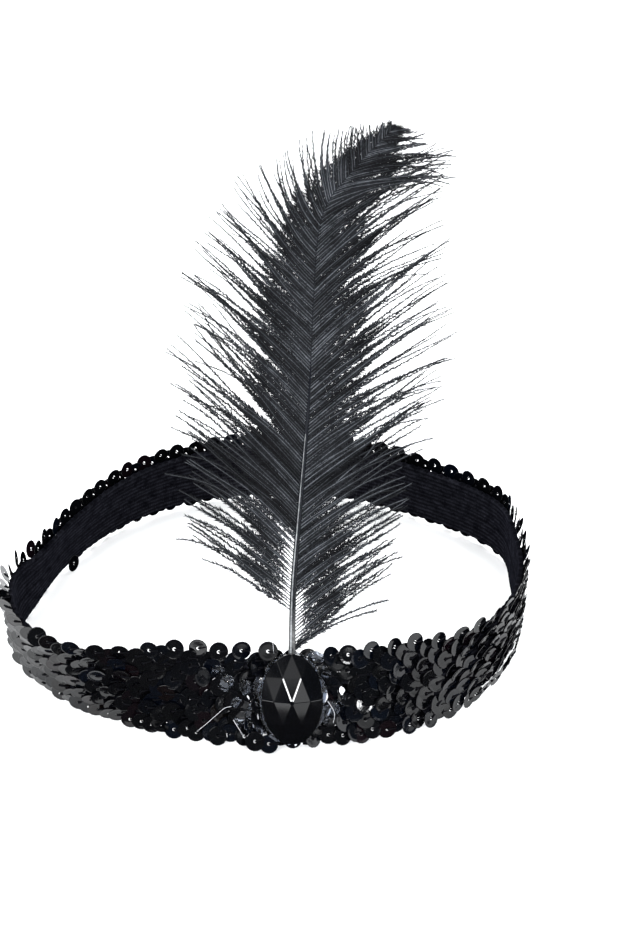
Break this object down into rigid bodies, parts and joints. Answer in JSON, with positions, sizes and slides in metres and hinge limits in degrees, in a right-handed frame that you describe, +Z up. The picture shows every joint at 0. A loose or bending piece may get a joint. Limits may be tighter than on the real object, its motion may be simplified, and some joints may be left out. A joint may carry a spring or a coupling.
{
  "type": "feather headband",
  "caption": "Sequinned stretch headband standing as an open loop, with a faceted oval stone glued on its front and a tall ostrich plume rising from behind the stone.",
  "frame": {"origin": "centre of the whole object's box, at the surface that the loop stands on", "axes": "+Z up; the front with its stone faces -Y; +X is to the right for someone who looks at the front"},
  "size_m": [0.1876, 0.1538, 0.1879],
  "materials": {
    "elastic": "knitted black elastic, matt and slightly ribbed",
    "sequins": "glossy black plastic discs",
    "glue": "clear set glue, smooth and a little cloudy",
    "stone": "polished black acrylic with crisp facets",
    "quill": "dyed quill, satin with pale flecks",
    "barbs": "dyed black ostrich barbs, soft and matt"
  },
  "bodies": {
    "root": {"elastic_band": "elastic", "sequin_facing": "sequins", "glue_pad": "glue", "oval_stone": "stone", "feather_quill": "quill", "feather_vane_left": "barbs", "feather_vane_right": "barbs"}
  },
  "joints": []
}
